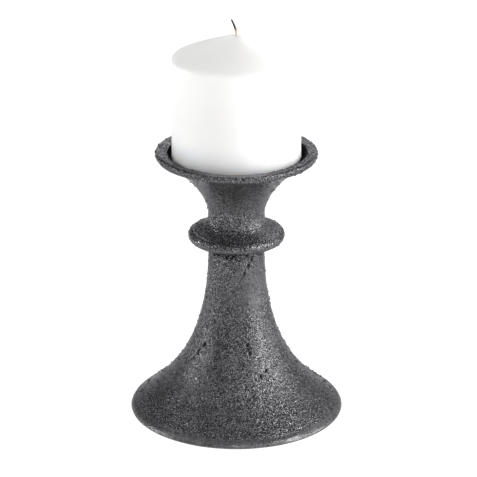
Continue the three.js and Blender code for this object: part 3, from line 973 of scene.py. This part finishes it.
def collar_ring():
    """The bead with its cove, bored to sit on the spigots."""
    bore = SPIGOT_RADIUS + SEAT_GAP
    bead_centre = (BEAD_CENTRE_RADIUS, bead_z)
    bead_top = (BEAD_CENTRE_RADIUS, bead_z + BEAD_HALF_HEIGHT)
    bead_bottom = (BEAD_CENTRE_RADIUS, bead_z - BEAD_HALF_HEIGHT)
    bead = arc(bead_centre, BEAD_HALF_WIDTH, BEAD_HALF_HEIGHT, -90, 90)
    cove_corner = (NECK_FOOT_RADIUS + RING_COVE_RUN, ring_top_z - RING_COVE_FALL)
    cove = bezier([bead_top, cove_corner, (NECK_FOOT_RADIUS, ring_top_z)], count=60)
    lowest = (BELL_TOP_RADIUS, ring_bottom_z)
    land = (NECK_FOOT_RADIUS - RING_TOP_LAND, ring_top_z)
    outline = Outline()
    outline.run([(bore, ring_bottom_z), lowest], 1.5, RING_BORE_SEGMENTS, 0)
    outline.run([lowest, bead_bottom], 0.6, RING_SEGMENTS, 0.8)
    outline.run(bead, 0.5, RING_SEGMENTS, 1.0)
    outline.run(cove, 0.5, RING_SEGMENTS, 1.0)
    outline.run([cove[-1], land], 0.6, RING_SEGMENTS, 1.0)
    outline.run([land, (bore, ring_top_z), (bore, ring_bottom_z)], 1.5, RING_BORE_SEGMENTS, 0)
    return turned("collar_ring_skin", outline, cast_metal, cast_relief, cast_marks)


# ---- cup

CUP_WIDE_RADIUS = 26.0
ROD_END_ROOM = 2.0
DRILL_POINT_HEIGHT = 2.4


def cup_underside():
    """From the neck's foot up to the rim's lower edge."""
    waist = np.array([NECK_WAIST_RADIUS, cup_bottom_z + NECK_WAIST_RISE])
    edge = np.array([rim_radius - RIM_EDGE_UNDERCUT, rim_z - RIM_EDGE_HEIGHT])
    slope = np.array([math.cos(RIM_SLOPE), math.sin(RIM_SLOPE)])
    half_way = (waist[0], (waist[1] + cup_bottom_z) / 2)
    neck = bezier([(NECK_FOOT_RADIUS, cup_bottom_z), half_way, waist], count=60)
    handles = [waist + (0, NECK_WAIST_REACH), edge - slope * RIM_SLOPE_REACH]
    flare = bezier([waist, *handles, edge], count=400)
    return np.concatenate([neck, flare[1:]])


def cup_rim():
    """Round the rim's edge to the crest and down the lip."""
    edge = np.array([rim_radius - RIM_EDGE_UNDERCUT, rim_z - RIM_EDGE_HEIGHT])
    belly = np.array([rim_radius, rim_z - RIM_BELLY_FALL])
    crest = np.array([rim_radius - CREST_INSET, rim_z])
    lip_edge = np.array([crest[0] - LIP_WIDTH, rim_z - LIP_FALL])
    lower = bezier([edge, (rim_radius, (edge[1] + belly[1]) / 2), belly], count=30)
    upper = bezier([belly, (rim_radius, rim_z), crest], count=30)
    return np.concatenate([lower, upper[1:], [lip_edge]])


def cup_recess():
    """From the lip's inner edge down the recess wall to the edge of its floor."""
    wall_radius = lip_radius - RECESS_DRAFT
    floor_z = rim_z - RECESS_DEPTH
    wall_end = (wall_radius, floor_z + RECESS_FILLET)
    floor_start = (wall_radius - RECESS_FILLET, floor_z)
    fillet = bezier([wall_end, (wall_radius, floor_z), floor_start], count=12)
    return np.concatenate([[(lip_radius, rim_z - LIP_FALL)], fillet])


def candle_cup():
    """Neck, cup, rim and recess, with the spigot and the blind hole for the rod."""
    underside = cup_underside()
    split = int(np.argmax(underside[:, 0] > CUP_WIDE_RADIUS))
    seat_z = cup_bottom_z - SEAT_GAP
    spigot_end = (SPIGOT_RADIUS, cup_bottom_z - SPIGOT_LENGTH)
    hole_radius = rod_radius + SEAT_GAP
    hole_end = (hole_radius, rod_high[2] + ROD_END_ROOM)
    hole_mouth = (hole_radius, spigot_end[1])
    neck_foot = (NECK_FOOT_RADIUS, seat_z)
    recess = cup_recess()
    outline = Outline()
    outline.run([(0, hole_end[1] + DRILL_POINT_HEIGHT), hole_end], 2.5, HOLE_SEGMENTS, 0)
    outline.run([hole_end, hole_mouth, spigot_end], 2.5, HOLE_SEGMENTS, 0)
    outline.run([spigot_end, (SPIGOT_RADIUS, seat_z), neck_foot], 1.5, INNER_SEGMENTS, 0)
    outline.run([neck_foot, underside[0]], 0.3, CAST_SEGMENTS, 1.0)
    outline.run(underside[:split], 0.5, CAST_SEGMENTS, 1.0)
    outline.run(underside[split:], 0.55, WIDE_SEGMENTS, 1.0)
    outline.run(cup_rim(), 0.36, WIDE_SEGMENTS, 0.8)
    outline.run(recess[:2], 0.6, WIDE_SEGMENTS, 0.6)
    outline.run(recess[1:], 0.6, CAST_SEGMENTS, 0.3)
    outline.run([recess[-1], (0, recess[-1][1])], 3.0, HOLE_SEGMENTS, 0)
    return turned("candle_cup_skin", outline, cast_metal, cast_relief, cast_marks)


# ---- candle

CANDLE_DRAFT = 0.15
CANDLE_SIDE = 58.8
CANDLE_FOOT_ROUND = 1.0
SHOULDER_ROUND = 4.0
SHOULDER_ANGLE = 67.5
DOME_KNEE_RADIUS = 16.3
DOME_KNEE_FALL = 4.1
TAB_RADIUS = 7.5
TAB_THICKNESS = 0.4
TAB_NECK_HEIGHT = 3.0
TAB_NECK_WALL = 0.4
WICK_WELL_RADIUS = 2.4
WICK_WELL_KNEE = 1.7
WICK_WELL_DEPTH = 0.35
WICK_SEAL_SHARE = 0.9
WICK_SEAL_DEPTHS = (0.1, 2.0, 4.0)
CANDLE_SEGMENTS = 192
FOOT_SEGMENTS = CANDLE_SEGMENTS // 2
WICK_HOLE_SEGMENTS = CANDLE_SEGMENTS // 4
WAX_LAYERS = ((0.12, 24.0, 71), (0.05, 9.0, 72))
WAX_SHRINK = 0.1

WICK_SIDES = 30
WICK_STRANDS = 3
WICK_TWIST = 4.5
WICK_LOBE = 0.14
WICK_BOW = (0.15, 0.25, 3.0)
WICK_TIP_INSET = 0.2
WICK_END_HEIGHT = 0.25
BURN_START = 2.0
BURN_LENGTH = 6.0
BURN_THINNING = 0.28
FRAY_DEPTH = 0.16
FRAY_RATE = 5.0


def wax_foot():
    """The candle's rounded lower edge."""
    inset = candle_radius - CANDLE_FOOT_ROUND
    up = candle_foot_z + CANDLE_FOOT_ROUND
    corner = (candle_radius, candle_foot_z)
    return bezier([(inset, candle_foot_z), corner, (candle_radius, up)], count=12)


def wax_outline():
    """The candle, with the wick's hole and the recess for the wick's tab in its foot."""
    hole_radius = wick_radius + SEAT_GAP
    neck_radius = hole_radius + TAB_NECK_WALL + SEAT_GAP
    tab_radius = TAB_RADIUS + SEAT_GAP
    recess_z = candle_foot_z + TAB_THICKNESS + 2 * SEAT_GAP
    neck_z = recess_z + TAB_NECK_HEIGHT
    seal_radius = wick_radius * WICK_SEAL_SHARE
    seal_top, seal_end, hole_top = (candle_tip_z - depth for depth in WICK_SEAL_DEPTHS)
    foot = wax_foot()
    side_radius = candle_radius - CANDLE_DRAFT
    centre = (side_radius - SHOULDER_ROUND, candle_foot_z + CANDLE_SIDE)
    shoulder = arc(centre, SHOULDER_ROUND, SHOULDER_ROUND, 0, SHOULDER_ANGLE)
    dome_knee = (DOME_KNEE_RADIUS, candle_tip_z - DOME_KNEE_FALL)
    dome = bezier([shoulder[-1], dome_knee, (WICK_WELL_RADIUS, candle_tip_z)], count=60)
    well_knee = (WICK_WELL_KNEE, candle_tip_z - WICK_WELL_DEPTH)
    well = bezier([dome[-1], well_knee, (seal_radius, seal_top)], count=12)
    tab_neck = [(hole_radius, neck_z), (neck_radius, neck_z), (neck_radius, recess_z)]
    tab_edge = [(tab_radius, recess_z), (tab_radius, candle_foot_z), foot[0]]
    hole = [well[-1], (seal_radius, seal_end), (hole_radius, hole_top), (hole_radius, neck_z)]
    outline = Outline()
    outline.run(tab_neck, 1.0, WICK_HOLE_SEGMENTS, 0)
    outline.run([tab_neck[-1], tab_edge[0]], 1.5, WICK_HOLE_SEGMENTS, 0)
    outline.run(tab_edge, 1.5, FOOT_SEGMENTS, 0)
    outline.run(foot, 0.4, CANDLE_SEGMENTS, 0.3)
    outline.run([foot[-1], shoulder[0]], 1.2, CANDLE_SEGMENTS, 1.0)
    outline.run(shoulder, 0.4, CANDLE_SEGMENTS, 0.8)
    outline.run(dome, 0.8, CANDLE_SEGMENTS, 0.6)
    outline.run(well, 0.2, WICK_HOLE_SEGMENTS, 0)
    outline.run(hole, 4.0, WICK_HOLE_SEGMENTS, 0)
    return outline


def wax_relief(points):
    """Faint unevenness of a moulded candle."""
    return layered(points, 0, WAX_LAYERS) - WAX_SHRINK


def candle_wax():
    """The pillar candle's body."""
    return turned("candle_wax_body", wax_outline(), wax, wax_relief)


def wick_path():
    """The wick's middle line: straight in the wax, then leaning over to its tip."""
    tip = np.array([wick_low[0] + wick_radius * 0.5, 0.0, wick_high[2] - WICK_TIP_INSET])
    leave = np.array([0.0, 0.0, candle_tip_z])
    t = np.linspace(0, 1, 40)[:, None]
    bow = leave + np.array(WICK_BOW)
    lean = (1 - t) ** 2 * leave + 2 * (1 - t) * t * bow + t * t * tip
    buried = np.linspace(wick_low[2], candle_tip_z, 60, endpoint=False)
    return np.concatenate([np.stack([0 * buried, 0 * buried, buried], axis=1), lean])


def candle_wick():
    """Three twisted strands, thinner and frayed where burnt."""
    path = wick_path()
    along = lengths_along(path)
    ahead = np.gradient(path, axis=0)
    ahead /= np.linalg.norm(ahead, axis=1)[:, None]
    across = np.cross(np.array([0.0, 1.0, 0.0]), ahead)
    across /= np.linalg.norm(across, axis=1)[:, None]
    sideways = np.cross(ahead, across)
    angle = np.arange(WICK_SIDES) * 2 * math.pi / WICK_SIDES
    burnt = rise(path[:, 2], candle_tip_z + BURN_START, candle_tip_z + BURN_START + BURN_LENGTH)
    rings = []
    for index, centre in enumerate(path):
        turn = angle - 2 * math.pi * along[index] / WICK_TWIST
        lobes = 1 - WICK_LOBE + WICK_LOBE * np.cos(WICK_STRANDS * turn)
        frayed = 1 + FRAY_DEPTH * burnt[index] * np.sin(FRAY_RATE * along[index] + 2 * angle)
        radius = wick_radius * lobes * frayed * (1 - BURN_THINNING * burnt[index])
        beside = np.outer(np.cos(angle) * radius, across[index])
        rings.append(centre + beside + np.outer(np.sin(angle) * radius, sideways[index]))
    ends = np.array([path[0], path[-1] + ahead[-1] * WICK_END_HEIGHT])
    return capped_tube("candle_wick_cord", rings, ends, wick_cotton)


# ---- rod and felt

THREAD_PITCH = 1.25
THREAD_DEPTH = 0.65
THREAD_STEEPNESS = 2.4
THREAD_CREST = 0.1
LEVELS_IN_A_TURN = 6
ROD_CHAMFER = 0.8
ROD_SIDES = 32
PAD_SEGMENTS = 48
PAD_EDGE_ROUND = 0.3
NAP_DEPTH = 0.06
NAP_SIZE = 0.7
NAP_SEED = 90


def tie_rod():
    """The threaded rod, its thread cut inwards from the rod's own radius."""
    levels = np.arange(rod_low[2], rod_high[2] + TINY, THREAD_PITCH / LEVELS_IN_A_TURN)
    angle = np.arange(ROD_SIDES) * 2 * math.pi / ROD_SIDES
    rings = []
    for level in levels:
        turn = level / THREAD_PITCH - angle / (2 * math.pi)
        share = THREAD_STEEPNESS * np.abs(turn - np.round(turn)) - THREAD_CREST
        cut = THREAD_DEPTH * np.clip(share, 0, 1)
        from_end = min(level - levels[0], levels[-1] - level)
        limit = rod_radius - max(0.0, ROD_CHAMFER - from_end)
        rings.append(around(np.minimum(rod_radius - cut, limit), level, angle))
    ends = np.array([(0, 0, levels[0]), (0, 0, levels[-1])], float)
    return capped_tube("tie_rod_thread", rings, ends, steel)


def felt_pad(number):
    """A pressed felt disc with a soft edge and a fibrous face."""
    low, high = corners_mm(f"felt_pad_{number}")
    centre = (low + high) / 2
    radius = (high[0] - low[0]) / 2
    face_edge = (radius - PAD_EDGE_ROUND, low[2])
    side_start = (radius, low[2] + PAD_EDGE_ROUND)
    edge = bezier([face_edge, (radius, low[2]), side_start], count=6)
    outline = Outline()
    outline.run([(0, low[2]), face_edge], 0.5, PAD_SEGMENTS, 1.0)
    outline.run(edge, 0.15, PAD_SEGMENTS, 0.5)
    outline.run([side_start, (radius, high[2]), (0, high[2])], 0.5, PAD_SEGMENTS, 0)

    def nap(points):
        return -NAP_DEPTH * (1 + soft_noise(points + centre, NAP_SIZE, NAP_SEED + number))

    pad = turned(f"felt_pad_{number}_disc", outline, felt, nap)
    pad.data.transform(Matrix.Translation((centre[0] * MM, centre[1] * MM, 0)))
    return pad


# ---- putting it together

def stands_for(piece, node, body):
    """Puts a piece in place of the CAD node, on its body."""
    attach(piece, body)
    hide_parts(node)


stands_for(bell_base(), "bell_base", "stand")
stands_for(collar_ring(), "collar_ring", "stand")
stands_for(candle_cup(), "candle_cup", "stand")
stands_for(tie_rod(), "tie_rod", "stand")
for pad_number in range(1, 5):
    stands_for(felt_pad(pad_number), f"felt_pad_{pad_number}", "stand")
stands_for(candle_wax(), "candle_wax", "candle")
stands_for(candle_wick(), "candle_wick", "candle")

CARRIED_OVER = {
    "clamp_washer": steel,
    "lock_washer": steel,
    "clamp_nut": steel,
    "wick_tab": tinplate,
}
for node_name, finish in CARRIED_OVER.items():
    node_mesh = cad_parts[node_name].data
    node_mesh.materials.clear()
    node_mesh.materials.append(finish)

# ---- studio

FLOOR_HALF = 6.0
CAMERA_DISTANCE = 1.3488
CAMERA_HEIGHT = 0.6334
CAMERA_SIDE = 0.0012
CAMERA_PITCH = math.radians(21.267)
CAMERA_LENS = 183.8
SENSOR_WIDTH = 36

SOFTBOX_DISTANCE = 1.2
SOFTBOX_AIM_HEIGHT = 0.11
SOFTBOXES = (
    # name, azimuth, elevation, width, height, power
    ("left_strip", -91, 13, 0.08, 0.3, 4.0),
    ("left", -60, 35, 0.6, 0.5, 0.75),
    ("left_upper_strip", -95, 44, 0.16, 0.4, 0.5),
    ("left_high", -60, 62, 0.6, 0.5, 0.6),
    ("front", 0, 35, 0.6, 0.5, 2.4),
    ("front_right", 60, 8, 0.6, 0.5, 4.0),
    ("right_strip", 68, 34, 0.16, 0.4, 5.3),
    ("right", 90, 8, 0.6, 0.5, 5.3),
    ("back_right", 120, 35, 0.6, 0.5, 1.0),
    ("back_near", 150, 35, 0.6, 0.5, 1.6),
    ("back", 180, 35, 0.6, 0.5, 3.8),
    ("top", 0, 90, 0.6, 0.6, 0.6),
)


def studio_floor():
    """A wide flat floor under the feet."""
    mesh = bpy.data.meshes.new("studio_floor")
    half = FLOOR_HALF
    corners = [(-half, -half, 0), (half, -half, 0), (half, half, 0), (-half, half, 0)]
    mesh.from_pydata(corners, [], [(0, 1, 2, 3)])
    mesh.materials.append(floor_material())
    floor = in_scene("studio_floor", mesh)


def softbox(name, azimuth, elevation, width, height, power):
    """An area light aimed at the stand; azimuth 0 is the camera's side, +90 its right."""
    data = bpy.data.lights.new(f"softbox_{name}", "AREA")
    data.shape = "RECTANGLE"
    data.size = width
    data.size_y = height
    data.energy = power
    light = in_scene(data.name, data)
    turn, lift = math.radians(azimuth), math.radians(elevation)
    light.location = (
        SOFTBOX_DISTANCE * math.cos(lift) * math.sin(turn),
        -SOFTBOX_DISTANCE * math.cos(lift) * math.cos(turn),
        SOFTBOX_AIM_HEIGHT + SOFTBOX_DISTANCE * math.sin(lift),
    )
    light.rotation_euler = (math.radians(90) - lift, 0, turn)
    light.visible_camera = False


def studio_world():
    """White at the horizon, dim overhead."""
    world = bpy.data.worlds.new("studio_world")
    world.use_nodes = True
    tree = world.node_tree
    split = add_node(tree, "ShaderNodeSeparateXYZ")
    direction = add_node(tree, "ShaderNodeTexCoord").outputs["Generated"]
    tree.links.new(direction, split.inputs["Vector"])
    sky_greys = [(0.0, 1.0), (0.02, 0.6), (0.05, 0.6), (0.2, 0.12), (1.0, 0.12)]
    sky = ramp(tree, split.outputs["Z"], sky_greys)
    tree.links.new(sky, tree.nodes["Background"].inputs["Color"])
    bpy.context.scene.world = world


def studio_camera():
    """The camera that the outline was fitted with."""
    data = bpy.data.cameras.new("studio_camera")
    data.lens = CAMERA_LENS
    data.sensor_width = SENSOR_WIDTH
    camera = in_scene("studio_camera", data)
    camera.location = (CAMERA_SIDE, -CAMERA_DISTANCE, CAMERA_HEIGHT)
    camera.rotation_euler = (math.radians(90) - CAMERA_PITCH, 0, 0)
    bpy.context.scene.camera = camera


studio_floor()
for softbox_row in SOFTBOXES:
    softbox(*softbox_row)
studio_world()
studio_camera()
bpy.context.scene.view_settings.view_transform = "Standard"
